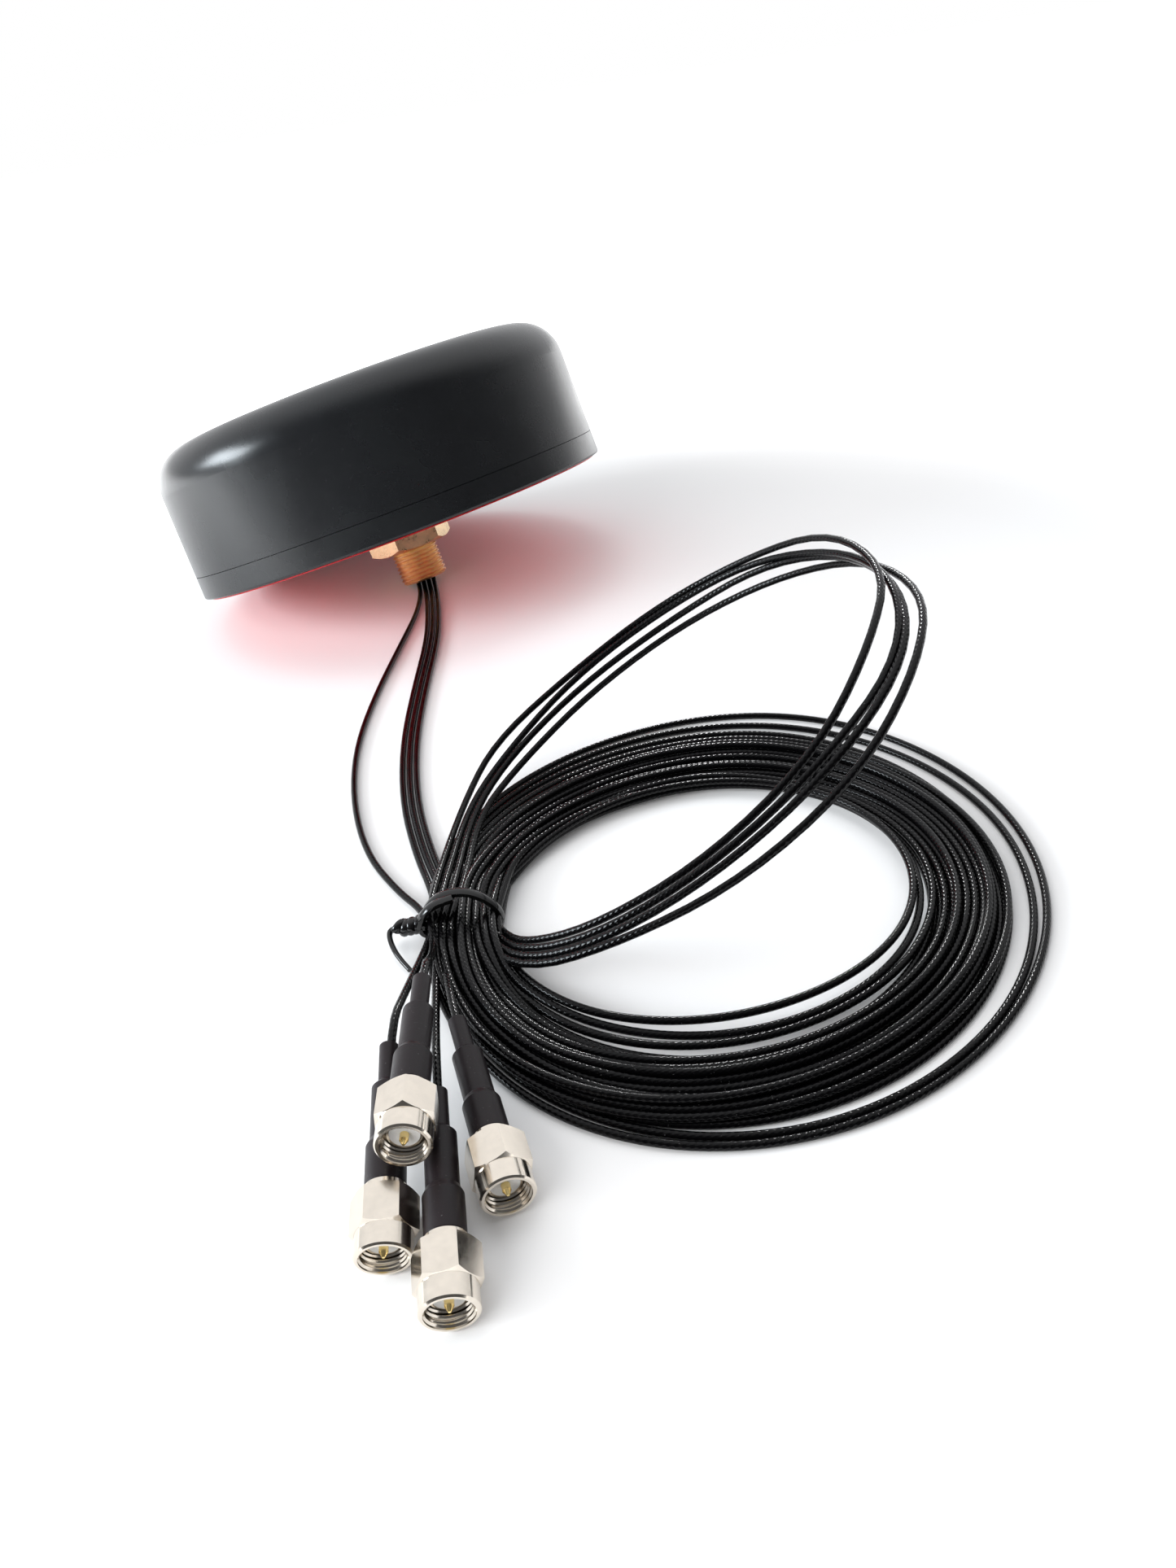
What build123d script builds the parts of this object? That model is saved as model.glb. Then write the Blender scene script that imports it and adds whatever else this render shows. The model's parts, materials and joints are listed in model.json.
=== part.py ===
"""Cellular antenna: a round screw-mount radome on a threaded stud, with four coaxial cables that end in
screw-coupled plugs. It lies on a table as it comes out of its bag: the puck leans on its rim and on the
end of its stud, and the cables are wound in a loose coil held by a twist tie. Millimetres, +Z up."""
from build123d import *
import math
import os

# Puck, in its own frame: Z along the stud's axis, 0 in the plane of the rim
base_radius = 62.0
puck_height = 41.0
side_draft = 1.5
top_round = 11.5
shell_wall = 2.6
band_height = 6.5
part_gap = 0.15
rim_round = 0.6

# Base tray
floor_thickness = 2.6
pad_recess = 1.0
pad_recess_border = 3.0
centre_land_radius = 18.0
lip_height = 3.6
lip_thickness = 2.4
lip_clearance = 0.12
seal_width = 0.95
seal_height = 1.2
seal_offset = 1.2
seal_clearance = 0.03
tray_rib_count = 8
tray_rib_thickness = 1.6

# Adhesive pad and its release liner
pad_thickness = 1.2
pad_edge_gap = 0.5
liner_thickness = 0.3
liner_inset = 1.8
liner_hole_gap = 0.4

# Threaded stud, nut and washer
stud_radius = 7.0
stud_reach = 17.5
stud_bore = 4.5
stud_flange_flats = 24.0
stud_flange_height = 4.0
stud_hole_clearance = 0.25
stud_end_chamfer = 0.7
nut_flats = 22.0
nut_height = 5.3
nut_turn = 17.0
nut_clearance = 0.05
washer_height = 2.2
washer_radius = 12.0
washer_gap = 2.4
washer_gap_turn = -112.0
socket_wall = 2.6
socket_height = 2.6
socket_clearance = 0.2

# Bevels of every hexagon: the turned face's share of the flats, and the cone's slope
bevel_face_share = 0.97
bevel_slope = 30.0

# Cable bush in the stud
bush_recess = 3.0
bush_length = 6.0
bush_clearance = 0.05
cable_spacing = 1.6

# Boards inside the radome
board_boss_gap = 3.6
board_thickness = 1.6
board_clearance = 2.0
board_hole_radius = 7.5
standoff_radius = 3.2
standoff_inset = 8.0
radiator_count = 4
radiator_inset = 9.0
radiator_corner_gap = 6.0
radiator_headroom = 3.2
radiator_thickness = 1.0
radiator_slot = 6.0
radiator_shoulder = 0.62
radiator_top_share = 0.7

# Screws
screw_count = 4
screw_clearance = 0.3
pilot_clearance = 0.04
pilot_spare = 1.5
cross_width = 0.5
cross_depth = 0.6
case_screw_inset = 12.0
case_screw_radius = 1.5
case_screw_head_radius = 2.9
case_screw_head_height = 1.9
case_screw_head_sink = 0.1
case_screw_length = 16.0
case_boss_radius = 4.4
case_boss_rise = 2.6
radome_boss_radius = 3.6
radome_rib_thickness = 1.6
radome_rib_gap = 3.0
board_screw_radius = 1.25
board_screw_head_radius = 2.3
board_screw_head_height = 1.5
board_screw_length = 6.0
board_pilot_spare = 0.4

# Coaxial cable
cable_diameter = 1.37
cable_count = 4
cable_entry_clearance = 0.02
cable_rise = 4.5
inner_cable_turns = (180, 270, 90, 0)
inner_cable_bend = (9.0, 18.0)

# Plug, in its own frame: Z out of its mouth, 0 at the coupling nut's front face
coupling_flats = 8.0
coupling_hex_length = 5.7
coupling_ring_length = 3.3
coupling_ring_radius = 3.92
coupling_ring_chamfer = 0.25
coupling_bore_radius = 3.05
coupling_mouth_radius = 3.3
coupling_mouth_depth = 0.5
coupling_rear_wall = 2.1
coupling_rear_clearance = 0.08
coupling_relief_radius = 3.3
coupling_relief_length = 1.4
neck_radius = 2.7
barrel_radius = 2.4
barrel_depth = 2.0
barrel_shoulder_length = 0.8
barrel_shoulder_clearance = 0.1
insulator_radius = 2.1
insulator_recess = 0.1
insulator_rear_wall = 0.6
pin_radius = 0.635
pin_tip_depth = 0.3
pin_tip_radius = 0.2
pin_taper_length = 0.8
keeper_thickness = 0.6
keeper_inset = 0.3
keeper_clearance = 0.1
keeper_land = 0.4
keeper_slit = 0.8
collar_radius = 2.95
collar_length = 1.1
collar_gap = 0.12
ferrule_radius = 1.9
ferrule_length = 8.0
boot_radii = (2.85, 2.35, 1.45)
boot_lengths = (6.4, 9.9, 7.7)
boot_end_round = 0.3
boot_step_length = 0.8

# Where the puck leans to
lean_azimuth = 129.4

# Where each plug lies: its mouth's centre, its turn about Z from the table's near side, its nose-down angle,
# and the turn of its coupling nut about its own axis
plug_mouths = {
    "a": (13.64, -240.95, 12.9),
    "b": (9.65, -250.9, 3.95),
    "c": (18.4, -260.2, 4.0),
    "d": (26.1, -244.6, 4.4),
}
plug_turns = {"a": -1.6, "b": 0.6, "c": 3.1, "d": 11.8}
plug_dips = {"a": -1.8, "b": 7.6, "c": 4.6, "d": 2.8}
coupling_turns = {"a": 23.0, "b": -7.0, "c": 3.0, "d": 15.0}

# Coil of the four cables: a flat ring whose width and edge vary round its centre, by angle, inner radius
# and outer radius
coil_centre = (64.0, -182.0)
coil_height = 7.0
coil_edge_round = 2.6
coil_edges = (
    (0, 33.9, 58.0), (33, 33.8, 60.0), (67, 32.6, 65.0), (100, 31.8, 58.6), (140, 33.8, 57.0),
    (180, 36.6, 52.5), (212, 38.4, 52.0), (245, 34.8, 58.6), (285, 33.0, 61.2), (325, 34.0, 58.0),
)

# Twist tie round the coil at its left end
tie_place = (19.4, -181.0)
tie_waist = (14.6, 4.9)
tie_band = 0.95
tie_width = 3.0
tie_lift = 0.05
tie_corner_share = 0.42
tie_tail_diameter = 1.7
tie_tail_route = [
    (11.6, -181.0, 4.6), (8.6, -180.4, 4.8), (6.2, -182.6, 4.0), (5.9, -187.6, 3.0), (8.0, -192.4, 1.9),
]

# Lifted turn: a circle in a plane that rises from the tie to the right; each strand lies a little aside, and
# it sags where it starts, low under the coil's inner turns
loop_centre = (56.8, -163.5, 25.6)
loop_radius = 48.9
loop_rise = 30.0
loop_heading = -4.0
loop_shift_up = 1.35
loop_shift_along = -2.5
loop_crossing = 28.0
loop_crossing_gap = 1.5
loop_angles = (-104, -78, -52, -26, 0, 28, 56, 84, 112, 138, 158)
loop_sags = (8.4, 8.0, 4.6, 1.5, 0, 0, 0, 0, 0, 0, 0)
loop_sag_slope = (-0.05, 1.25, -1.0)
loop_starts = ((25.4, -184.6, 1.9), (30.0, -192.4, 4.0))
loop_start_spacings = ((-1.6, 0.0, 0.1), (-0.3, -2.4, 0.0))
loop_end = (14.2, -171.0, 4.4)
loop_end_spacing = (1.9, 0.0, 0.0)

# Cable routes on the table, as chosen points: stud to coil, and coil to plug
lead_single = [
    (4.2, -12.6, 0.75), (4.6, -19.0, 0.7), (3.9, -32.0, 0.7), (0.4, -52.0, 0.7), (-4.4, -80.0, 0.7),
    (-7.2, -106.0, 0.7), (-5.9, -130.0, 0.7), (-1.2, -152.0, 0.7), (6.2, -167.0, 0.9), (13.2, -176.0, 1.6),
]
lead_group = [
    (7.3, -12.0, 0.75), (8.1, -19.0, 0.7), (8.9, -32.0, 0.7), (9.2, -52.0, 0.7), (7.0, -80.0, 0.7),
    (5.5, -108.0, 0.7), (6.8, -134.0, 0.7), (10.6, -155.0, 0.8), (15.6, -171.0, 1.6),
]
tail_routes = {
    "a": [(14.1, -187.1, 3.2), (14.5, -192.9, 5.6), (14.9, -198.2, 8.6)],
    "b": [(13.0, -185.5, 2.4), (11.9, -193.5, 4.2), (10.6, -203.6, 6.9)],
    "c": [(14.3, -188.5, 1.6), (14.8, -198.9, 3.0), (15.4, -210.0, 4.9)],
    "d": [(16.2, -187.5, 1.9), (16.8, -197.5, 4.0)],
}
tail_straight = 4.0

# How far a cut reaches past the face it opens, and how deep a boss or rib roots in its wall
overshoot = 1.0
root = 0.5


def turned(points, rounds=()):
    """Solid of revolution about Z from an outline of (radius, height) points, with named corners rounded."""
    outline = make_face(Polyline(*[(r, 0, z) for r, z in points], close=True))
    for corner, radius in rounds:
        r, z = points[corner]
        outline = fillet(outline.vertices().sort_by_distance((r, 0, z))[0], radius)
    return revolve(outline, Axis.Z)


def disc(radius, low, high, hole=0.0):
    """Round plate or ring between two heights."""
    return turned([(hole, low), (radius, low), (radius, high), (hole, high)])


def hex_bar(flats, low, high, bevel_low=True, bevel_high=True, turn=0.0):
    """Hexagonal bar whose ends may carry the conical bevel of a turned nut."""
    hexagon = Rot(0, 0, turn) * RegularPolygon(flats / 2, 6, major_radius=False)
    bar = Pos(0, 0, low) * extrude(hexagon, high - low)
    face = bevel_face_share * flats / 2
    reach = flats / math.sqrt(3) + overshoot
    drop = (reach - face) * math.tan(math.radians(bevel_slope))
    bottom = [(0, low), (face, low), (reach, low + drop)] if bevel_low else [(0, low), (reach, low)]
    top = [(reach, high - drop), (face, high), (0, high)] if bevel_high else [(reach, high), (0, high)]
    return bar & turned(bottom + top)


def around(count, radius, start=0.0):
    """Evenly spaced places on a circle."""
    return PolarLocations(radius, count, start_angle=start)


def side_radius(height):
    """Outer radius of the drafted side at a height above the rim."""
    return base_radius - height * math.tan(math.radians(side_draft))


def inner_radius(height):
    """Inner radius of the radome's side at a height above the rim."""
    return side_radius(height) - shell_wall


pad_recess_radius = base_radius - pad_recess_border
floor_top = pad_recess + floor_thickness
split_height = band_height + part_gap
ceiling = puck_height - shell_wall
stud_hole_radius = stud_radius + stud_hole_clearance
stud_flange_top = floor_top + stud_flange_height
board_height = stud_flange_top + board_clearance
board_top = board_height + board_thickness
radiator_height = ceiling - board_top - radiator_headroom
lip_radius = inner_radius(band_height) - lip_clearance
lip_inside = lip_radius - lip_thickness
lip_top = band_height + lip_height
seal_low = band_height + seal_offset
seal_high = seal_low + seal_height
seal_inside = lip_radius - seal_width
socket_inside = stud_flange_flats / 2 + socket_clearance
case_boss_top = floor_top + case_boss_rise
radome_boss_low = case_boss_top + part_gap
case_screw_low = pad_recess + case_screw_head_sink
case_screw_head_top = case_screw_low + case_screw_head_height
case_screw_tip = case_screw_low + case_screw_length
board_screw_tip = board_top - board_screw_length
case_screw_circle = base_radius - case_screw_inset
board_radius = case_screw_circle - case_boss_radius - board_boss_gap
standoff_circle = board_radius - standoff_inset
radiator_circle = board_radius - radiator_inset
radiator_width = 2 * (math.sqrt(board_radius ** 2 - radiator_circle ** 2) - radiator_corner_gap)


def radome_boss():
    """Screw boss hanging from the ceiling, braced to the side by a rib."""
    boss = disc(radome_boss_radius, radome_boss_low, ceiling + root)
    reach = side_radius(ceiling) - case_screw_circle
    rib_low = lip_top + radome_rib_gap
    rib_height = ceiling + root - rib_low
    rib = Pos(reach / 2, 0, rib_low + rib_height / 2) * Box(reach, radome_rib_thickness, rib_height)
    return boss + rib


def radome():
    """Moulded cover with a drafted side, a large top round, and screw bosses inside."""
    top = side_radius(puck_height)
    low = split_height - overshoot
    outer = turned([(0, split_height), (side_radius(split_height), split_height), (top, puck_height),
                    (0, puck_height)], [(2, top_round)])
    hollow = turned([(0, low), (inner_radius(low), low), (inner_radius(ceiling), ceiling), (0, ceiling)],
                    [(2, top_round - shell_wall)])
    beside_lip = lip_inside - root
    above_lip = lip_top + overshoot
    bosses_within = turned([
        (0, radome_boss_low), (beside_lip, radome_boss_low), (beside_lip, above_lip),
        (inner_radius(above_lip) + root, above_lip), (inner_radius(ceiling) + root, ceiling + root),
        (0, ceiling + root)], [(4, top_round - shell_wall)])
    pilot = disc(case_screw_radius + pilot_clearance, radome_boss_low, case_screw_tip + pilot_spare)
    shell = outer - hollow
    for place in around(screw_count, case_screw_circle):
        shell += (place * radome_boss()) & bosses_within
    for place in around(screw_count, case_screw_circle):
        shell -= place * pilot
    return shell


def tray_ribs():
    """Radial stiffening ribs on the tray's floor, from the stud's socket to the lip."""
    start = socket_inside + socket_wall
    length = lip_inside + root - start
    height = socket_height - root + root / 2
    middle = Pos(start + length / 2, 0, floor_top - root / 2 + height / 2)
    rib = middle * Box(length, tray_rib_thickness, height)
    step = 360 / tray_rib_count
    return [Rot(0, 0, (turn + 0.5) * step) * rib for turn in range(tray_rib_count)]


def base_tray():
    """Floor with a drafted skirt, a lip that fits inside the radome, a hexagonal socket for the stud's
    flange, screw bosses, board standoffs and stiffening ribs."""
    tray = turned([
        (stud_hole_radius, 0), (centre_land_radius, 0), (centre_land_radius, pad_recess),
        (pad_recess_radius, pad_recess), (pad_recess_radius, 0), (base_radius, 0),
        (side_radius(band_height), band_height), (lip_radius, band_height), (lip_radius, lip_top),
        (lip_inside, lip_top), (lip_inside, floor_top), (stud_hole_radius, floor_top)], [(5, rim_round)])
    tray -= disc(lip_radius + overshoot, seal_low, seal_high, seal_inside)
    socket_top = floor_top + socket_height
    socket = disc(2 * socket_inside / math.sqrt(3) + socket_wall / 2, floor_top, socket_top)
    tray += socket - hex_bar(2 * socket_inside, floor_top - overshoot, socket_top + overshoot, False, False)
    for rib in tray_ribs():
        tray += rib
    for place in around(screw_count, case_screw_circle):
        tray += place * disc(case_boss_radius, floor_top - root, case_boss_top)
        tray -= place * disc(case_screw_radius + screw_clearance, 0, case_boss_top + overshoot)
        head_hole = case_screw_head_radius + screw_clearance
        tray -= place * disc(head_hole, pad_recess - overshoot, case_screw_head_top)
    for place in around(screw_count, standoff_circle, 180 / screw_count):
        tray += place * disc(standoff_radius, floor_top - root, board_height)
        tray -= place * disc(board_screw_radius + pilot_clearance, board_screw_tip - board_pilot_spare,
                             board_height + overshoot)
    return tray


def threaded_stud():
    """Hollow stud with a hexagonal flange that sits in the tray's socket; its thread is a plain cylinder."""
    shank_top = floor_top + root
    shank = turned([
        (stud_bore, -stud_reach), (stud_radius - stud_end_chamfer, -stud_reach),
        (stud_radius, stud_end_chamfer - stud_reach), (stud_radius, shank_top), (stud_bore, shank_top)])
    flange = hex_bar(stud_flange_flats, floor_top, stud_flange_top, False, True)
    return shank + (flange - disc(stud_bore, floor_top - overshoot, stud_flange_top + overshoot))


def lock_washer():
    """Split spring washer between the tray and the nut."""
    ring = disc(washer_radius, -washer_height, 0, stud_radius + nut_clearance)
    slit = Pos(washer_radius, 0, -washer_height / 2) * Box(washer_radius, washer_gap, 2 * washer_height)
    return ring - Rot(0, 0, washer_gap_turn) * slit


def hex_nut():
    nut = hex_bar(nut_flats, -washer_height - nut_height, -washer_height, turn=nut_turn)
    return nut - disc(stud_radius + nut_clearance, -washer_height - nut_height - overshoot, 0)


def cable_offset(index):
    """Place of one cable in the row across the stud."""
    return (index - (cable_count - 1) / 2) * cable_spacing


def cable_bush():
    low = bush_recess - stud_reach
    bush = disc(stud_bore - bush_clearance, low, low + bush_length)
    for index in range(cable_count):
        hole = disc(cable_diameter / 2 + bush_clearance, low - overshoot, low + bush_length + overshoot)
        bush -= Pos(cable_offset(index), 0, 0) * hole
    return bush


def adhesive_pad():
    low = pad_recess - pad_thickness
    return disc(pad_recess_radius - pad_edge_gap, low, pad_recess, centre_land_radius + pad_edge_gap)


def release_liner():
    high = pad_recess - pad_thickness
    hole = centre_land_radius + liner_hole_gap
    return disc(base_radius - liner_inset, high - liner_thickness, high, hole)


def seal_ring():
    return disc(inner_radius(seal_high) - seal_clearance, seal_low, seal_high, seal_inside)


def antenna_board():
    board = disc(board_radius, board_height, board_top, board_hole_radius)
    screw_hole = board_screw_radius + screw_clearance
    for place in around(screw_count, standoff_circle, 180 / screw_count):
        board -= place * disc(screw_hole, board_height - overshoot, board_top + overshoot)
    return board


def radiator(turn):
    """Upright radiator board with a stepped top and a slot, standing on the antenna board."""
    half = radiator_width / 2
    shoulder = radiator_shoulder * radiator_height
    narrow = radiator_top_share * half
    outline = make_face(Polyline((-half, 0), (half, 0), (half, shoulder), (narrow, radiator_height),
                                 (-narrow, radiator_height), (-half, shoulder), close=True))
    outline -= Pos(0, radiator_height) * Rectangle(radiator_slot, radiator_height)
    plate = extrude(Plane.YZ * outline, radiator_thickness / 2, both=True)
    return Rot(0, 0, turn) * Pos(radiator_circle, 0, board_top) * plate


def cross_head_screw(head_radius, head_height, shank_radius, length):
    """Screw standing on its head's driven face at 0, with its tip at its whole length."""
    screw = disc(head_radius, 0, head_height) + disc(shank_radius, 0, length)
    bar = 1.4 * head_radius
    return screw - (Box(bar, cross_width, 2 * cross_depth) + Box(cross_width, bar, 2 * cross_depth))


def case_screws():
    """Screws driven from below, through the tray into the radome's bosses."""
    screw = cross_head_screw(case_screw_head_radius, case_screw_head_height, case_screw_radius,
                             case_screw_length)
    places = around(screw_count, case_screw_circle)
    return Compound([Pos(0, 0, case_screw_low) * place * screw for place in places])


def board_screws():
    """Screws driven from above, through the board into the standoffs."""
    length = board_screw_length + board_screw_head_height
    screw = cross_head_screw(board_screw_head_radius, board_screw_head_height, board_screw_radius, length)
    places = around(screw_count, standoff_circle, 180 / screw_count)
    head_top = Pos(0, 0, board_top + board_screw_head_height)
    return Compound([head_top * place * Rot(180, 0, 0) * screw for place in places])


def corner_radii(points):
    """Radius of each corner's arc: 0.45 of the shorter run over the tangent of half the turn."""
    radii = []
    for before, here, after in zip(points, points[1:], points[2:]):
        first = Vector(here) - Vector(before)
        second = Vector(after) - Vector(here)
        half_turn = math.radians(first.get_angle(second)) / 2
        radii.append(0.45 * min(first.length, second.length) / math.tan(half_turn))
    return radii


def tube(points, diameter, name):
    """Round tube along straight runs joined by tangent arcs, with its figures printed."""
    radii = corner_radii(points)
    path = FilletPolyline(*points, radius=radii)
    section = Plane(origin=path @ 0, z_dir=path % 0) * Circle(diameter / 2)
    solid = sweep(section, path)
    ratio = solid.volume / (math.pi * diameter ** 2 / 4 * path.length)
    print(f"{name}: length {path.length:.0f} mm, least radius {min(radii):.1f}, volume ratio {ratio:.4f}")
    return solid


def inner_cable(index):
    """Cable end inside the puck: up through the bush and the stud, over the board, to a radiator's foot."""
    across = cable_offset(index)
    turn = math.radians(inner_cable_turns[index])
    out = (math.cos(turn), math.sin(turn))
    low = bush_recess - stud_reach
    on_board = board_top + cable_diameter / 2 + bush_clearance
    end = radiator_circle - radiator_thickness / 2
    near, far = inner_cable_bend
    points = [
        (across, 0, low), (across, 0, on_board + cable_rise),
        (across + near * out[0], near * out[1], on_board + 0.8 * cable_rise),
        (across + far * out[0], far * out[1], on_board),
        (end * out[0] + across * abs(out[1]), end * out[1], on_board)]
    return tube(points, cable_diameter, f"inner_cable_{index + 1}")


nut_length = coupling_hex_length + coupling_ring_length
coupling_shoulder_depth = nut_length - coupling_rear_wall
keeper_back = coupling_shoulder_depth - keeper_clearance
keeper_front = keeper_back - keeper_thickness
barrel_shoulder_radius = coupling_bore_radius - barrel_shoulder_clearance
barrel_shoulder_back = keeper_front - keeper_land
barrel_shoulder_front = barrel_shoulder_back - barrel_shoulder_length
collar_front = nut_length + collar_gap
collar_back = collar_front + collar_length
ferrule_back = collar_back + ferrule_length
insulator_front = barrel_depth + insulator_recess
insulator_back = collar_front - insulator_rear_wall
boot_back = collar_back + sum(boot_lengths)


def coupling_nut(turn):
    """Screw-coupling nut: hexagon behind a round nose, a wide bore for the thread and a narrow rear hole."""
    body = hex_bar(coupling_flats, -nut_length, -coupling_ring_length, turn=turn)
    body += turned([
        (0, -coupling_ring_length - root), (coupling_ring_radius, -coupling_ring_length - root),
        (coupling_ring_radius, -coupling_ring_chamfer), (coupling_ring_radius - coupling_ring_chamfer, 0),
        (0, 0)])
    rear_hole = neck_radius + coupling_rear_clearance
    relief_front = coupling_shoulder_depth - coupling_relief_length
    return body - turned([
        (0, -nut_length - overshoot), (rear_hole, -nut_length - overshoot),
        (rear_hole, -coupling_shoulder_depth),
        (coupling_relief_radius, -coupling_shoulder_depth), (coupling_relief_radius, -relief_front),
        (coupling_bore_radius, -relief_front), (coupling_bore_radius, -coupling_mouth_depth),
        (coupling_mouth_radius, -coupling_mouth_depth / 2), (coupling_mouth_radius, overshoot),
        (0, overshoot)])


def plug_body():
    """Turned body: barrel, shoulder, neck with the keeper's groove, rear collar and crimp ferrule."""
    groove = neck_radius - keeper_inset
    body = turned([
        (0, -ferrule_back), (ferrule_radius, -ferrule_back), (ferrule_radius, -collar_back),
        (collar_radius, -collar_back), (collar_radius, -collar_front), (neck_radius, -collar_front),
        (neck_radius, -keeper_back), (groove, -keeper_back),
        (groove, -keeper_front), (neck_radius, -keeper_front),
        (neck_radius, -barrel_shoulder_back),
        (barrel_shoulder_radius, -barrel_shoulder_back), (barrel_shoulder_radius, -barrel_shoulder_front),
        (barrel_radius, -barrel_shoulder_front), (barrel_radius, -barrel_depth), (0, -barrel_depth)])
    body -= disc(insulator_radius, -insulator_back, 0)
    cable_bore = cable_diameter / 2 + cable_entry_clearance
    return body - disc(cable_bore, -ferrule_back - overshoot, -insulator_back + root)


def insulator():
    return disc(insulator_radius, -insulator_back, -insulator_front, pin_radius)


def centre_pin():
    taper = pin_tip_depth + pin_taper_length
    return turned([(0, -insulator_back), (pin_radius, -insulator_back), (pin_radius, -taper),
                   (pin_tip_radius, -pin_tip_depth), (0, -pin_tip_depth)])


def keeper_ring():
    """Snap ring in the body's groove, which holds the coupling nut and lets it spin."""
    outside = coupling_relief_radius - keeper_clearance
    ring = disc(outside, -keeper_back, -keeper_front, neck_radius - keeper_inset)
    return ring - Pos(outside, 0, -keeper_back) * Box(outside, keeper_slit, 4 * keeper_thickness)


def heat_shrink():
    """Sleeve shrunk over ferrule and cable: three steps with soft shoulders."""
    points = [(boot_radii[0] - boot_end_round / 2, -collar_back)]
    at = collar_back
    for step, length in enumerate(boot_lengths):
        start = boot_end_round if step == 0 else boot_end_round + boot_step_length
        points.append((boot_radii[step], -at - start))
        at += length
        points.append((boot_radii[step], -at))
    points += [(cable_diameter / 2, -at), (cable_diameter / 2, -ferrule_back),
               (ferrule_radius, -ferrule_back), (ferrule_radius, -collar_back)]
    return turned(points)


def plug_axis(name):
    """Direction out of a plug's mouth."""
    turn, dip = math.radians(plug_turns[name]), math.radians(plug_dips[name])
    return Vector(math.sin(turn) * math.cos(dip), -math.cos(turn) * math.cos(dip), -math.sin(dip))


def plug_location(name):
    turn = math.radians(plug_turns[name])
    side = (math.cos(turn), math.sin(turn), 0)
    return Location(Plane(origin=plug_mouths[name], x_dir=side, z_dir=plug_axis(name)))


def tie_section(grow, width):
    """Rounded bar across the bundle at the tie, wider by grow on every side."""
    wide, high = tie_waist
    bar = Box(wide + 2 * grow, width, high + 2 * grow)
    return fillet(bar.edges().filter_by(Axis.Y), tie_corner_share * high + grow)


tie_middle = (tie_place[0], tie_place[1], tie_lift + tie_band + tie_waist[1] / 2)


def coil_edge(column):
    """Face inside one of the ring's two edges."""
    x, y = coil_centre
    points = []
    for row in coil_edges:
        angle, radius = math.radians(row[0]), row[column]
        points.append((x + radius * math.cos(angle), y + radius * math.sin(angle)))
    return make_face(Spline(*points, periodic=True))


def coil():
    """Outer shape of the wound cables: a flat ring with soft edges, with a waist where the tie is."""
    ring = extrude(coil_edge(2) - coil_edge(1), coil_height)
    ring = fillet(ring.edges().filter_by(GeomType.LINE, reverse=True), coil_edge_round)
    slab = Pos(*tie_middle) * Box(2 * tie_waist[0], tie_width + 2 * tie_lift, 2 * coil_height)
    core = Pos(*tie_middle) * tie_section(0, tie_width + 2 * overshoot)
    return ring - (slab - core)


def twist_tie():
    """Band round the bundle with its twisted end curling down to the table."""
    band = Pos(*tie_middle) * (tie_section(tie_band, tie_width) - tie_section(0, tie_width + overshoot))
    return band + tube(tie_tail_route, tie_tail_diameter, "twist_tie tail")


def loop_route(index):
    """Points of one strand of the lifted turn: low out of the tie, then a circle in a rising plane."""
    rise, heading = math.radians(loop_rise), math.radians(loop_heading)
    up = Vector(math.cos(rise) * math.cos(heading), math.cos(rise) * math.sin(heading), math.sin(rise))
    along = Vector(-math.sin(heading), math.cos(heading), 0)
    normal = up.cross(along)
    centre = Vector(loop_centre) + up * (index * loop_shift_up) + along * (index * loop_shift_along)
    points = []
    for start, spacing in zip(loop_starts, loop_start_spacings):
        points.append(tuple(Vector(start) + Vector(spacing) * index))
    for degrees, sag in zip(loop_angles, loop_sags):
        angle = math.radians(degrees)
        under = index * loop_crossing_gap * math.cos(math.radians(degrees - loop_crossing) / 2) ** 2
        on_circle = up * (loop_radius * math.cos(angle)) + along * (loop_radius * math.sin(angle))
        points.append(tuple(centre + on_circle - normal * under + Vector(loop_sag_slope) * sag))
    points.append(tuple(Vector(loop_end) + Vector(loop_end_spacing) * index))
    return points


# The puck leans so that its rim and its stud's end both touch the table
lean = math.degrees(math.atan(stud_reach / (base_radius - (stud_radius - stud_end_chamfer))))
lean_side = Vector(math.cos(math.radians(lean_azimuth)), math.sin(math.radians(lean_azimuth)), 0)
puck_axis = lean_side * math.sin(math.radians(lean)) + Vector(0, 0, math.cos(math.radians(lean)))
puck_x = (Vector(1, 0, 0) - puck_axis * puck_axis.X).normalized()
rim_height = base_radius * math.sin(math.radians(lean))

puck_pieces = {
    "radome": radome(),
    "base_tray": base_tray(),
    "seal_ring": seal_ring(),
    "threaded_stud": threaded_stud(),
    "lock_washer": lock_washer(),
    "hex_nut": hex_nut(),
    "cable_bush": cable_bush(),
    "adhesive_pad": adhesive_pad(),
    "release_liner": release_liner(),
    "antenna_board": antenna_board(),
    "case_screws": case_screws(),
    "board_screws": board_screws(),
}
for number in range(radiator_count):
    puck_pieces[f"radiator_{number + 1}"] = radiator(360 / radiator_count * number)

# The puck's box is centred on the origin
leaning = Location(Plane(origin=(0, 0, rim_height), x_dir=puck_x, z_dir=puck_axis))
box = Compound([leaning * piece for piece in puck_pieces.values()]).bounding_box()
puck_centre = Vector(-box.center().X, -box.center().Y, rim_height)
puck_place = Location(Plane(origin=puck_centre, x_dir=puck_x, z_dir=puck_axis))
print(f"lean {lean:.2f} deg, rim plane centre {puck_centre}, axis {puck_axis}")

pieces = {name: puck_place * piece for name, piece in puck_pieces.items()}
for number in range(cable_count):
    pieces[f"inner_cable_{number + 1}"] = puck_place * inner_cable(number)

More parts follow.
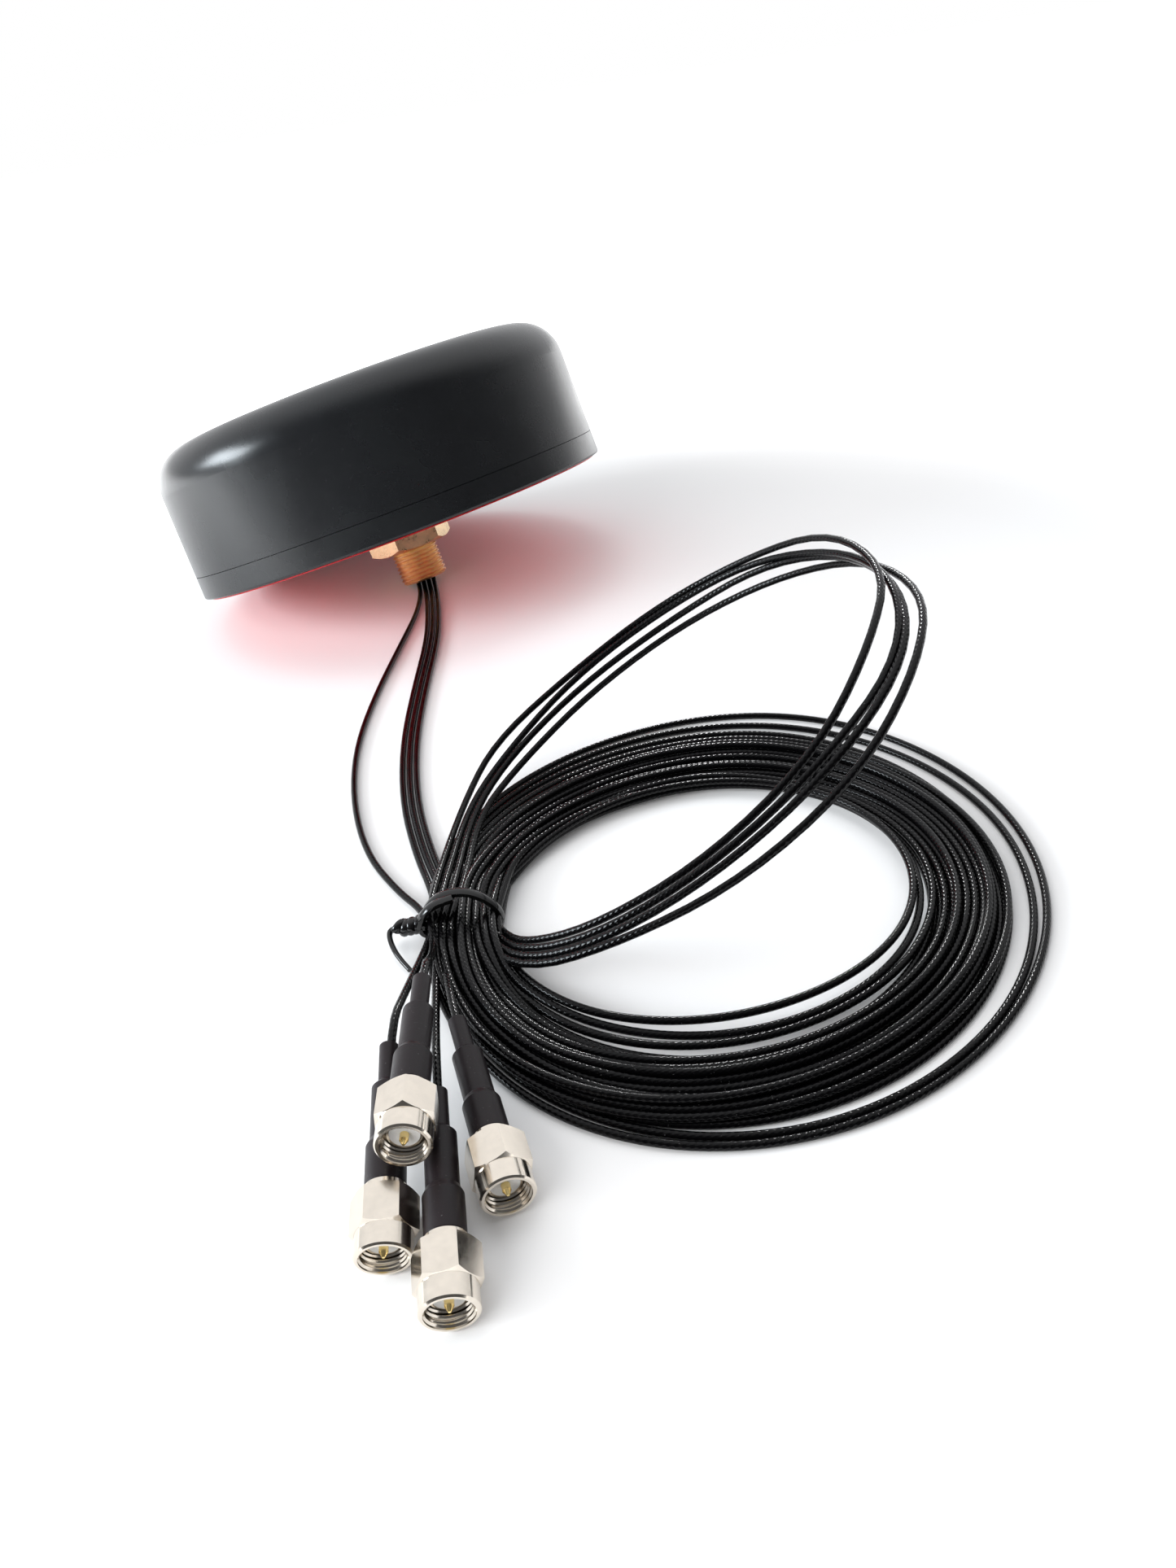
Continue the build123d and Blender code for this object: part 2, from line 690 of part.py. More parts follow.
for name in plug_mouths:
    place = plug_location(name)
    pieces[f"coupling_nut_{name}"] = place * coupling_nut(coupling_turns[name])
    pieces[f"plug_body_{name}"] = place * plug_body()
    pieces[f"insulator_{name}"] = place * insulator()
    pieces[f"centre_pin_{name}"] = place * centre_pin()
    pieces[f"keeper_ring_{name}"] = place * keeper_ring()
    pieces[f"heat_shrink_{name}"] = place * heat_shrink()

# Cables: from the bush to the coil, the lifted turn, and from the coil into each sleeve
for number, name in enumerate(plug_mouths):
    exit_point = puck_place * Location((cable_offset(number), 0, bush_recess - stud_reach))
    mouth_point = puck_place * Location((cable_offset(number), 0, -stud_reach))
    on_table = lead_single
    if number > 0:
        on_table = [(x + (number - 2) * cable_spacing, y, z) for x, y, z in lead_group]
    lead = [tuple(exit_point.position), tuple(mouth_point.position)] + on_table
    pieces[f"cable_lead_{name}"] = tube(lead, cable_diameter, f"cable_lead_{name}")
    pieces[f"cable_loop_{name}"] = tube(loop_route(number), cable_diameter, f"cable_loop_{name}")
    before_sleeve = Vector(plug_mouths[name]) - plug_axis(name) * (boot_back + tail_straight)
    at_ferrule = Vector(plug_mouths[name]) - plug_axis(name) * ferrule_back
    tail = tail_routes[name] + [tuple(before_sleeve), tuple(at_ferrule)]
    pieces[f"cable_tail_{name}"] = tube(tail, cable_diameter, f"cable_tail_{name}")

pieces["cable_coil"] = coil()
pieces["twist_tie"] = twist_tie()

os.makedirs("parts", exist_ok=True)
for name, piece in pieces.items():
    export_step(piece, f"parts/{name}.step")
print(len(pieces), "nodes")
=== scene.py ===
"""Looks of the cellular antenna: leaning puck, threaded stud, four wound coaxial cables with their tie, and
four screw-coupled plugs, on a white table. Lengths are in millimetres until the helper mm() turns them into
metres; +Z is up and the cables run towards -Y."""
import json
import math

import bpy
import numpy as np
from mathutils import Matrix, Vector


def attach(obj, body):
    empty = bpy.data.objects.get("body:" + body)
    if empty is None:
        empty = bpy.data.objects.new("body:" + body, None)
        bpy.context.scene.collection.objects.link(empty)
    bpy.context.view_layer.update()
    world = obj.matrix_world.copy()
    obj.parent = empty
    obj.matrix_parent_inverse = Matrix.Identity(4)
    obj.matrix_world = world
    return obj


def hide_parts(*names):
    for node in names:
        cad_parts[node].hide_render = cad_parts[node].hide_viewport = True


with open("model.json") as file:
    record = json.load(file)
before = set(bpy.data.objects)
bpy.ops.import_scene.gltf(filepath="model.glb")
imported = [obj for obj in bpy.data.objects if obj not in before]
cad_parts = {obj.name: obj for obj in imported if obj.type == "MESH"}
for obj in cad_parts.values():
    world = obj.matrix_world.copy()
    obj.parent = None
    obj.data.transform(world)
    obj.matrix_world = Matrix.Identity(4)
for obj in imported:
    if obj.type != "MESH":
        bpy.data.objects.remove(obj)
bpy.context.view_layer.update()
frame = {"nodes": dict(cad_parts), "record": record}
nodes = frame["nodes"]
mounts = {mount["name"]: mount for mount in frame["record"]["mounts"]}
PLUGS = ("a", "b", "c", "d")
MM = 0.001


def mm(point):
    """A point in millimetres, as metres."""
    return tuple(float(v) * MM for v in point)


# Camera of the photograph
CAMERA_PLACE = (44.97, -349.69, 130.13)
CAMERA_DIP = math.radians(31.54)
CAMERA_ROLL = math.radians(9.04)
CAMERA_FOCAL_PIXELS = 1447.0
PHOTO_HEIGHT_PIXELS = 1927
SENSOR = 36.0
LEVEL_DOWN = Vector((0, -math.sin(CAMERA_DIP), -math.cos(CAMERA_DIP)))
VIEW_FORWARD = Vector((0, math.cos(CAMERA_DIP), -math.sin(CAMERA_DIP)))
VIEW_RIGHT = math.cos(CAMERA_ROLL) * Vector((1, 0, 0)) + math.sin(CAMERA_ROLL) * LEVEL_DOWN
VIEW_UP = math.sin(CAMERA_ROLL) * Vector((1, 0, 0)) - math.cos(CAMERA_ROLL) * LEVEL_DOWN

# Cables
CABLE_DIAMETER = 1.37
CABLE_SPACING = 1.6
CABLE_SIDES = 14

# Puck, as the CAD has it: middle and axis of the rim's plane, and the stud, whose heights are along that axis
RIM_CENTRE = Vector((2.5895, -3.2641, 18.5837))
PUCK_AXIS = Vector((-0.1902526, 0.2316172, 0.9540217)).normalized()
PUCK_X = (Vector((1, 0, 0)) - PUCK_AXIS * PUCK_AXIS.x).normalized()
PUCK_Y = PUCK_AXIS.cross(PUCK_X)
STUD_REACH = 17.5
STUD_RADIUS = 7.0
STUD_BORE = 4.5
STUD_BORE_MIDDLE = -8.0
STUD_END_CHAMFER = 0.7
STUD_FLANGE_FLATS = 24.0
STUD_FLANGE_LOW = 3.6
STUD_FLANGE_HIGH = 7.6
STUD_SIDES = 96
BUSH_RECESS = 3.0

# Stud's thread: where it ends, its pitch and depth, and the shares of the pitch that are crest and flanks
THREAD_TOP = -3.0
THREAD_PITCH = 1.2
THREAD_DEPTH = 0.62
THREAD_CREST = 0.14
THREAD_FLANKS = 0.8
THREAD_FADE = 0.8
THREAD_STEP = 0.1

# Plugs: how far behind the mouth the ferrule and the sleeve end, and the coupling nut's inside thread
FERRULE_BACK = 18.22
BOOT_BACK = 34.22
TAIL_STRAIGHT = 4.0
NUT_BORE = 3.05
NUT_THREAD_RADIUS = 2.84
NUT_PITCH = 0.7056
NUT_THREAD_START = 0.75
NUT_THREAD_END = 3.1
NUT_THREAD_STEPS = 40
NUT_THREAD_RUN_OUT = 12
NUT_RIDGE_FOOT = 0.42
NUT_RIDGE_CREST = 0.05
NUT_RIDGE_SUNK = 0.05

# Coil: centre, and its inner and outer edge by angle, as the CAD solid has them
COIL_CENTRE = (64.0, -182.0)
COIL_EDGES = (
    (0, 33.9, 58.0), (33, 33.8, 60.0), (67, 32.6, 65.0), (100, 31.8, 58.6), (140, 33.8, 57.0),
    (180, 36.6, 52.5), (212, 38.4, 52.0), (245, 34.8, 58.6), (285, 33.0, 61.2), (325, 34.0, 58.0),
)
TURNS = 6
STEPS = 30
TIE_ANGLE = 180.0
COIL_ANGLES = TIE_ANGLE + np.arange(STEPS) * 360 / STEPS

# Loose outer and inner strands, and the band between them: distance from the coil's edge, by angle
OUTER_FIRST = (
    (0, 0.0), (30, 0.0), (60, -1.4), (90, -3.2), (110, -2.2), (140, 0.0), (235, 0.0), (262, 0.4), (285, 1.9),
    (298, 2.4), (311, 1.6), (325, 0.6), (345, 0.1),
)
OUTER_SECOND = (
    (0, 2.8), (30, 3.0), (60, 3.4), (90, 0.0), (110, 0.0), (130, 1.5), (180, 1.4), (250, 1.5), (275, 2.6),
    (297, 3.9), (311, 3.1), (322, 2.9), (335, 3.6), (350, 3.6),
)
OUTER_THIRD = (
    (0, 8.0), (30, 7.0), (60, 6.4), (90, 3.4), (120, 2.4), (180, 2.7), (250, 3.2), (275, 6.8), (300, 9.0),
    (330, 8.4),
)
BAND_OUTSIDE = (
    (0, 8.6), (30, 8.0), (60, 8.4), (90, 6.4), (120, 4.4), (180, 3.4), (225, 3.8), (255, 4.6), (275, 7.4),
    (300, 9.8), (330, 9.2),
)
INNER_THIRD = ((0, 2.8), (180, 2.8), (215, 3.2), (240, 4.2), (270, 4.6), (300, 4.2), (330, 3.0))
BAND_INSIDE = ((0, 3.6), (180, 3.6), (215, 4.2), (240, 5.6), (270, 6.4), (300, 5.6), (330, 4.2))

# Layers of the band's strands by cable, on even and on odd turns, and how far a layer's strands wander
LAYERS = ((0, 1, 0, 1), (0, 1, 0, 2))
LAYER_STEP = 1.25
LAYER_WANDER = (0.8, 2.1, 3.3)
OWN_WANDER = 0.42
OWN_PHASE = 9
WAVES = 3
WANDER_SEED = 11

# Settling of the strands: sweeps that still draw them to their place, sweeps that only part them, and the
# share of each correction that one sweep makes
DRAWING_SWEEPS = 221
PARTING_SWEEPS = 39
DRAW_ACROSS = 0.12
DRAW_UP = 0.072
SMOOTHING = 0.35
PUSH_EACH_OTHER = 0.45
PUSH_FROM_RUNS = 0.9
STRAND_SPACING = CABLE_DIAMETER * 1.02
TABLE_CLEARANCE = 0.02
SLOT_REACH_STEPS = 4.0
SLOT_REACH_CURVE = 1.5
RUN_SAMPLES = 24
CROSSING_TOLERANCE = 1.5
FAR_AWAY = -1000.0
NO_ZERO = 1e-6

# Slots in the tie: rows of strands from the table up, as (first x, count, height)
SLOT_ROWS = ((13.0, 10, 1.75), (13.7, 9, 2.95), (14.4, 8, 4.15), (13.6, 5, 5.35))
SLOT_STEP = 1.42

# Routes outside the coil, as given points
LEAD_SINGLE = [
    (4.2, -12.6, 0.75), (4.6, -19.0, 0.7), (3.9, -32.0, 0.7), (0.4, -52.0, 0.7), (-4.4, -80.0, 0.7),
    (-7.2, -106.0, 0.7), (-5.9, -130.0, 0.7), (-1.2, -152.0, 0.7), (6.2, -167.0, 0.9), (11.4, -175.0, 1.6),
]
LEAD_GROUP = [
    (7.3, -12.0, 0.75), (8.1, -19.0, 0.7), (8.9, -32.0, 0.7), (9.2, -52.0, 0.7), (7.0, -80.0, 0.7),
    (5.5, -108.0, 0.7), (6.8, -134.0, 0.7), (10.6, -155.0, 0.8), (15.0, -171.0, 1.6),
]
TAILS = {
    "a": [(14.1, -187.1, 3.2), (14.5, -192.9, 5.6), (14.9, -198.2, 8.6)],
    "b": [(13.0, -185.5, 2.4), (11.9, -193.5, 4.2), (10.6, -203.6, 6.9)],
    "c": [(14.3, -188.5, 1.6), (14.8, -198.9, 3.0), (15.4, -210.0, 4.9)],
    "d": [(16.2, -187.5, 1.9), (16.8, -197.5, 4.0)],
}

# Lifted turn: a circle in a rising plane, each strand a little aside; it starts low, under the coil's strands
LOOP_CENTRE = Vector((56.8, -163.5, 25.6))
LOOP_RADIUS = 48.9
LOOP_RISE = math.radians(30)
LOOP_HEADING = math.radians(-4)
LOOP_SHIFT_UP = 1.35
LOOP_SHIFT_ALONG = -2.5
LOOP_CROSSING = 28.0
LOOP_CROSSING_GAP = 1.5
LOOP_ANGLES = (-104, -78, -52, -26, 0, 28, 56, 84, 112, 138, 158)
LOOP_SAGS = (8.4, 8.0, 4.6, 1.5, 0, 0, 0, 0, 0, 0, 0)
LOOP_SAG_SLOPE = Vector((-0.05, 1.25, -1.0))
# First strand's place and the step to the next one, where the turn leaves the tie and where it comes back
LOOP_STARTS = (((25.4, -184.6, 1.9), (-1.6, 0.0, 0.1)), ((30.0, -192.4, 4.0), (-0.3, -2.4, 0.0)))
LOOP_END = ((14.2, -171.0, 4.4), (1.9, 0.0, 0.0))
# How far each strand lies right of and above that circle in the photograph, by angle
LOOP_NUDGES = (
    {-26: (-1.3, 0.2), 0: (1.4, 1.0), 28: (0.3, 2.6), 84: (0.4, -0.6), 112: (0.4, -0.5), 138: (-1.2, 0.8)},
    {-78: (-0.3, 0.6), -52: (-0.4, 0.4), -26: (1.2, -0.4), 0: (0.4, 0.3), 28: (0.0, 0.4), 56: (-0.3, 0.9),
     138: (0.3, -0.3)},
    {-104: (0.0, 0.2), -78: (-0.5, 1.1), -52: (-0.9, 0.8), -26: (-0.4, 0.1), 0: (-0.8, -0.6), 28: (0.0, 0.9),
     56: (-0.4, 1.4), 84: (0.3, -0.6), 112: (0.4, -0.4)},
    {-104: (0.0, 0.6), -26: (-1.1, 0.3), 0: (0.4, 0.4), 28: (0.2, 1.2), 84: (0.4, -0.7), 112: (0.8, -0.9),
     138: (0.8, -0.7)},
)

# Twist tie: a flat ribbon with a wire in it round the strands, its two ends twisted, and a tail
TIE_RING = [
    (12.0, -180.6, 3.4), (12.5, -180.6, 4.8), (14.4, -180.7, 7.5), (17.2, -180.9, 8.8), (20.4, -181.0, 8.7),
    (23.1, -181.1, 7.2), (25.2, -181.1, 4.9), (26.1, -181.1, 2.4), (25.2, -181.1, 0.8), (22.0, -181.1, 0.62),
    (18.0, -181.1, 0.62), (14.0, -181.2, 0.62), (12.0, -181.4, 1.2), (11.4, -181.6, 2.4), (11.6, -181.8, 3.4),
]
TIE_SECOND_PASS = [
    (18.4, -182.4, 8.7), (15.4, -182.7, 8.4), (13.0, -182.8, 6.8), (11.8, -182.6, 5.0), (11.3, -182.1, 3.5),
]
TIE_KNOT = [(12.2, -181.2, 3.7), (10.6, -181.7, 3.6), (9.2, -181.9, 3.4), (7.4, -181.3, 3.3)]
TIE_KNOT_TURNS = 2.0
TIE_KNOT_OFFSET = 0.8
TIE_KNOT_STRAND = (1.9, 1.6)
TIE_TAIL = [
    (7.6, -181.0, 3.2), (6.2, -181.0, 3.0), (5.8, -182.3, 2.7), (6.4, -184.8, 2.0), (7.8, -187.8, 1.35),
    (9.6, -190.6, 0.95),
]
TIE_TAIL_STRAND = (1.15, 0.95)
TIE_SIDES = 12
TIE_SMOOTHNESS = 8
TIE_KNOT_SMOOTHNESS = 12
TIE_RIBBON_TOP = [
    (-1.05, 0.0), (-0.98, 0.36), (-0.7, 0.5), (-0.4, 0.64), (0.0, 0.7), (0.4, 0.64), (0.7, 0.5), (0.98, 0.36),
    (1.05, 0.0),
]
TIE_RIBBON = TIE_RIBBON_TOP + [(across, -up) for across, up in TIE_RIBBON_TOP[-2:0:-1]]
TIE_RIBBON_WIDE_WAY = (0, 1, 0)

# Braid that shows through a cable's thin jacket: the length of one crossing, strands round it, and the relief
BRAID_PITCH = 1.1
BRAID_STRANDS = 7
BRAID_FRONT = 0.75
BRAID_BACK = 0.35
BRAID_STRENGTH = 0.5
BRAID_DEPTH = 0.03
BRAID_DULLER = 0.12

# Light specks of dust: how many to the metre, and the part of the noise that makes them
DUST_SCALE = 2600.0
DUST_FROM = 0.70
DUST_TO = 0.76
DUST_COLOUR = (0.5, 0.5, 0.5)

# Table: its colour, and its glow for the camera by distance from a point between the puck and the coil
TABLE_HALF_SIDE = 6000.0
TABLE_BELOW = 0.05
TABLE_WHITE = 0.88
GLOW_CENTRE = (30.0, -120.0, 0.0)
GLOW_STARTS = 170.0
GLOW_FULL = 400.0
GLOW_NEAR = 0.05
GLOW_FAR = 1.5

# Sky: where it is brightest, and its strength away from there and there
SKY_BRIGHT = Vector((-0.05, 0.80, 0.60)).normalized()
SKY_COLOUR = (0.97, 0.98, 1.0)
SKY_FACING_LOW = -0.10
SKY_FACING_HIGH = 0.80
SKY_LOW = 0.10
SKY_HIGH = 1.12


def add_camera():
    """Camera at the photograph's place; the sensor is the frame's long side."""
    data = bpy.data.cameras.new("camera")
    data.sensor_width = SENSOR
    data.lens = SENSOR * CAMERA_FOCAL_PIXELS / PHOTO_HEIGHT_PIXELS
    data.clip_start = 0.01
    data.clip_end = 20.0
    camera = bpy.data.objects.new("camera", data)
    turn = Matrix((VIEW_RIGHT, VIEW_UP, -VIEW_FORWARD)).transposed().to_4x4()
    camera.matrix_world = Matrix.Translation(mm(CAMERA_PLACE)) @ turn
    bpy.context.scene.collection.objects.link(camera)
    bpy.context.scene.camera = camera


def plug_mouth(name):
    """Middle of a plug's mouth, and the direction out of it."""
    mount = mounts[f"plug_{name}"]
    return Vector(mount["pos_m"]) / MM, Vector(mount["axis"])


def by_angle(table, angles):
    """Values of an (angle, value) table at some angles, going round."""
    rows = np.array(table, float)
    return np.interp(np.asarray(angles) % 360, rows[:, 0], rows[:, 1], period=360)


def lead_route(index):
    """From inside the stud's bush, down to the table and along it to the tie."""
    across = (index - (len(PLUGS) - 1) / 2) * CABLE_SPACING
    points = []
    for depth in (STUD_REACH - BUSH_RECESS, STUD_REACH):
        points.append(tuple(RIM_CENTRE + PUCK_X * across - PUCK_AXIS * depth))
    if index == 0:
        return points + LEAD_SINGLE
    return points + [(x + (index - 2) * CABLE_SPACING, y, z) for x, y, z in LEAD_GROUP]


def loop_route(index):
    """One strand of the lifted turn."""
    level = Vector((math.cos(LOOP_HEADING), math.sin(LOOP_HEADING), 0))
    up = level * math.cos(LOOP_RISE) + Vector((0, 0, math.sin(LOOP_RISE)))
    along = Vector((-math.sin(LOOP_HEADING), math.cos(LOOP_HEADING), 0))
    normal = up.cross(along)
    centre = LOOP_CENTRE + up * (index * LOOP_SHIFT_UP) + along * (index * LOOP_SHIFT_ALONG)
    points = [tuple(Vector(place) + Vector(step) * index) for place, step in LOOP_STARTS]
    for degrees, sag in zip(LOOP_ANGLES, LOOP_SAGS):
        angle = math.radians(degrees)
        under = index * LOOP_CROSSING_GAP * math.cos(math.radians(degrees - LOOP_CROSSING) / 2) ** 2
        on_circle = up * (LOOP_RADIUS * math.cos(angle)) + along * (LOOP_RADIUS * math.sin(angle))
        right, higher = LOOP_NUDGES[index].get(degrees, (0.0, 0.0))
        nudge = VIEW_RIGHT * right + VIEW_UP * higher
        points.append(tuple(centre + on_circle - normal * under + LOOP_SAG_SLOPE * sag + nudge))
    points.append(tuple(Vector(LOOP_END[0]) + Vector(LOOP_END[1]) * index))
    return points


def tail_route(name):
    """From the tie into a plug's sleeve."""
    mouth, axis = plug_mouth(name)
    ends = [tuple(mouth - axis * back) for back in (BOOT_BACK + TAIL_STRAIGHT, FERRULE_BACK)]
    return TAILS[name] + ends


def tie_slots():
    """Where each cable passes the tie: (radius, height) by pass and cable. Leads lie low at the left, the
    lifted turn leaves low at the right and comes back on top at the left."""
    cables = len(PLUGS)
    low, second, third, top = [[(x + SLOT_STEP * i, z) for i in range(count)] for x, count, z in SLOT_ROWS]
    first = low[:cables]
    last = low[-cables:][::-1]
    back = top[:cables]
    middle = sorted(low[cables:-cables] + second + third + top[cables:])
    slots = [first] + [middle[cables * i:cables * (i + 1)] for i in range(TURNS - 1)] + [last, back]
    return [[(COIL_CENTRE[0] - x, z) for x, z in row] for row in slots]


def crossing_points(route):
    """(radius, height) where a route's runs cross the half-planes at the coil's angles, or far away."""
    found = np.full((STEPS, 2), FAR_AWAY)
    dense = []
    for start, end in zip(route, route[1:]):
        for share in np.linspace(0, 1, RUN_SAMPLES, endpoint=False):
            dense.append(np.array(start) * (1 - share) + np.array(end) * share)
    dense = np.array(dense)
    x, y = dense[:, 0] - COIL_CENTRE[0], dense[:, 1] - COIL_CENTRE[1]
    turn = np.degrees(np.arctan2(y, x)) % 360
    for i, angle in enumerate(COIL_ANGLES):
        off = np.abs((turn - angle + 180) % 360 - 180)
        nearest = int(off.argmin())
        if off[nearest] < CROSSING_TOLERANCE:
            found[i] = math.hypot(x[nearest], y[nearest]), dense[nearest][2]
    return found


def passing_runs():
    """(radius, height) of the leads, lifted turns and tails that cross the coil's angles near the tie."""
    found = []
    for index, name in enumerate(PLUGS):
        loop = loop_route(index)
        for route in (lead_route(index)[-3:], loop[:3], loop[-4:], tail_route(name)[:3]):
            found.append(crossing_points(route))
    return np.array(found).transpose(1, 0, 2)


def wanted_places():
    """Radius and height that each strand is drawn to, by cable and by step along its turns. The outermost and
    innermost strands have a place of their own, and those between share the band."""
    inner = by_angle([(angle, near) for angle, near, far in COIL_EDGES], COIL_ANGLES) + CABLE_DIAMETER / 2
    outer = by_angle([(angle, far) for angle, near, far in COIL_EDGES], COIL_ANGLES) - CABLE_DIAMETER / 2
    band_outer = outer - by_angle(BAND_OUTSIDE, COIL_ANGLES)
    band_inner = inner + by_angle(BAND_INSIDE, COIL_ANGLES)
    outer_tables = (OUTER_FIRST, OUTER_SECOND, OUTER_THIRD)
    outer_strands = [(outer - by_angle(table, COIL_ANGLES), 0) for table in outer_tables]
    inner_strands = [(inner + by_angle(INNER_THIRD, COIL_ANGLES), 1), (inner + CABLE_DIAMETER, 1), (inner, 2)]
    strands = len(PLUGS) * TURNS
    first_inner = strands - len(inner_strands)
    draw = np.random.default_rng(WANDER_SEED)
    around = np.arange(STEPS) / STEPS * 2 * math.pi
    phases = draw.uniform(0, 2 * math.pi, (len(LAYER_WANDER), WAVES))

    def wander(layer):
        """Slow sideways drift of a layer of strands."""
        waves = sum(np.sin(around * (n + 1) + phases[layer][n]) / (n + 1) for n in range(WAVES))
        return waves * LAYER_WANDER[layer]

    places = np.zeros((2, len(PLUGS), TURNS, STEPS))
    for rank in range(strands):
        turn, k = divmod(rank, len(PLUGS))
        if rank < len(outer_strands):
            radius, layer = outer_strands[rank]
        elif rank >= first_inner:
            radius, layer = inner_strands[rank - first_inner]
        else:
            layer = LAYERS[turn % 2][k]
            share = (rank - len(outer_strands)) / (first_inner - 1 - len(outer_strands))
            radius = band_outer + (band_inner - band_outer) * share + wander(layer)
        own = draw.normal(0, OWN_WANDER, WAVES)
        drift = sum(own[n] * np.sin(around * (n + 1) + own[n] * OWN_PHASE) for n in range(WAVES))
        places[0, k, turn] = radius + drift
        places[1, k, turn] = CABLE_DIAMETER / 2 + layer * LAYER_STEP
    return places.reshape(2, len(PLUGS), -1)


def pushed_off(strands, others, strength):
    """Strands, as (radius, height) by step and strand, moved off others that lie too near."""
    off = strands[:, :, None] - others[:, None]
    gap = np.sqrt((off ** 2).sum(3, keepdims=True)) + NO_ZERO
    push = np.clip(STRAND_SPACING - gap, 0, None) * strength
    return strands + (push * off / gap).sum(2)


def wound_turns():
    """Control points of the coil's turns, by cable: strands are drawn to their place across the coil, and
    pushed off each other and off the table, angle by angle."""
    cables = len(PLUGS)
    slots = np.array(tie_slots()[:TURNS + 1]).transpose(2, 1, 0)
    path = np.zeros((2, cables, TURNS * STEPS + 1))
    path[:, :, :-1] = wanted_places()
    path[:, :, ::STEPS] = slots
    for step in range(TURNS * STEPS):
        steps_off = min(step % STEPS, STEPS - step % STEPS)
        pull = max(0.0, 1 - steps_off / SLOT_REACH_STEPS) ** SLOT_REACH_CURVE
        near = round(step / STEPS) * STEPS
        path[:, :, step] += (path[:, :, near] - path[:, :, step]) * pull
    wanted = path.copy()
    draw_share = np.array((DRAW_ACROSS, DRAW_UP))[:, None, None]
    runs = passing_runs()
    for sweep in range(DRAWING_SWEEPS + PARTING_SWEEPS):
        if sweep < DRAWING_SWEEPS:
            path += (wanted - path) * draw_share
            path[:, :, 1:-1] += SMOOTHING * ((path[:, :, :-2] + path[:, :, 2:]) / 2 - path[:, :, 1:-1])
        strands = path[:, :, :-1].reshape(2, cables * TURNS, STEPS).transpose(2, 1, 0)
        strands = pushed_off(strands, strands, PUSH_EACH_OTHER)
        strands = pushed_off(strands, runs, PUSH_FROM_RUNS)
        strands[:, :, 1] = np.maximum(strands[:, :, 1], CABLE_DIAMETER / 2 + TABLE_CLEARANCE)
        path[:, :, :-1] = strands.transpose(2, 1, 0).reshape(2, cables, -1)
        path[:, :, ::STEPS] = slots
    radius, height = path
    turn = np.radians(TIE_ANGLE + np.arange(TURNS * STEPS + 1) * 360 / STEPS)
    x = COIL_CENTRE[0] + radius * np.cos(turn)
    y = COIL_CENTRE[1] + radius * np.sin(turn)
    return np.stack([x, y, height], axis=2)


def spline_points(name, points, resolution=5):
    """Points in millimetres along one smooth open spline with these control points."""
    curve = bpy.data.curves.new(name, "CURVE")
    curve.dimensions = "3D"
    curve.resolution_u = resolution
    spline = curve.splines.new("NURBS")
    spline.points.add(len(points) - 1)
    for control, point in zip(spline.points, points):
        control.co = (*mm(point), 1.0)
    spline.order_u = 3
    spline.use_endpoint_u = True
    holder = bpy.data.objects.new(name, curve)
    line = bpy.data.meshes.new_from_object(holder)
    found = np.array([tuple(v.co) for v in line.vertices]) / MM
    bpy.data.objects.remove(holder)
    bpy.data.curves.remove(curve)
    bpy.data.meshes.remove(line)
    return found


def unit(vectors):
    """Vectors of length one in the same directions."""
    return vectors / np.linalg.norm(vectors, axis=-1, keepdims=True)


def swept_rings(points, section, wide_way=None):
    """Rings of a section, given as (sideways, across) pairs, along a line of points. It turns as little as
    it can on the way, or keeps its wide side along wide_way."""
    tangents = unit(np.gradient(points, axis=0))
    start = np.array(wide_way if wide_way is not None else (1.0, 0.0, 0.0), float)
    side = start
    sides = []
    for tangent in tangents:
        base = start if wide_way is not None else side
        side = unit(base - tangent * base.dot(tangent))
        sides.append(side)
    sides = np.array(sides)
    across = np.cross(tangents, sides)
    section = np.array(section, float)
    return (points[:, None, :] + section[None, :, :1] * sides[:, None, :]
            + section[None, :, 1:] * across[:, None, :])


def ellipse(width, thickness, sides):
    """Points round an ellipse."""
    turns = np.arange(sides) * 2 * math.pi / sides
    return np.stack([np.cos(turns) * width / 2, np.sin(turns) * thickness / 2], axis=1)


def ring_object(name, shells, body, closed=False, sharp=40.0):
    """Object made of shells, each an array of rings of points in millimetres. In its texture coordinates u is
    the length along a shell in millimetres and v goes once round."""
    vertices, faces, places = [], [], []
    for rings in shells:
        base = len(vertices)
        count, around = rings.shape[:2]
        vertices += [mm(p) for p in rings.reshape(-1, 3)]
        middle = rings.mean(axis=1)
        length = np.concatenate([[0.0], np.cumsum(np.linalg.norm(np.diff(middle, axis=0), axis=1))])
        length = np.append(length, length[-1])
        for i in range(count if closed else count - 1):
            after = (i + 1) % count
            for j in range(around):
                k = (j + 1) % around
                faces.append((base + i * around + j, base + i * around + k, base + after * around + k,
                              base + after * around + j))
                low, high = j / around, (j + 1) / around
                places += [(length[i], low), (length[i], high), (length[i + 1], high), (length[i + 1], low)]
        if not closed:
            last = base + (count - 1) * around
            faces.append(tuple(base + j for j in reversed(range(around))))
            faces.append(tuple(last + j for j in range(around)))
            places += [(0.0, 0.5)] * around + [(length[-1], 0.5)] * around
    mesh = bpy.data.meshes.new(name)
    mesh.from_pydata(vertices, [], faces)
    layer = mesh.uv_layers.new(name="UVMap")
    layer.data.foreach_set("uv", np.array(places, np.float32).ravel())
    mesh.polygons.foreach_set("use_smooth", [True] * len(faces))
    mesh.set_sharp_from_angle(angle=math.radians(sharp))
    obj = bpy.data.objects.new(name, mesh)
    bpy.context.scene.collection.objects.link(obj)
    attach(obj, body)
    return obj


